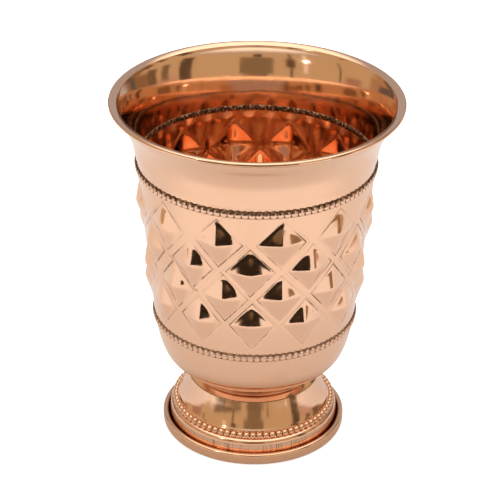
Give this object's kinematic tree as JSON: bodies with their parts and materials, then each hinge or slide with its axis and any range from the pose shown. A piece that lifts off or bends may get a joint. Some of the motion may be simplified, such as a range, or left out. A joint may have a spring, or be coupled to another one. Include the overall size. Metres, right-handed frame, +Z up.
{
  "type": "footed tumbler",
  "caption": "Flared drinking cup on a short spun foot, with staggered pyramid bosses between two milled bands and a beaded foot.",
  "frame": {"origin": "centre of the flat underside of the base plate, on the surface the cup stands on", "axes": "+Z up along the axis the cup is turned about; the pictured side faces -Y"},
  "size_m": [0.09, 0.09, 0.1132],
  "materials": {
    "copper": "polished",
    "copper_braze": "satin"
  },
  "bodies": {
    "root": {"bowl": "copper", "foot": "copper", "base_plate": "copper", "neck_braze": "copper_braze", "base_braze": "copper_braze"}
  },
  "joints": []
}
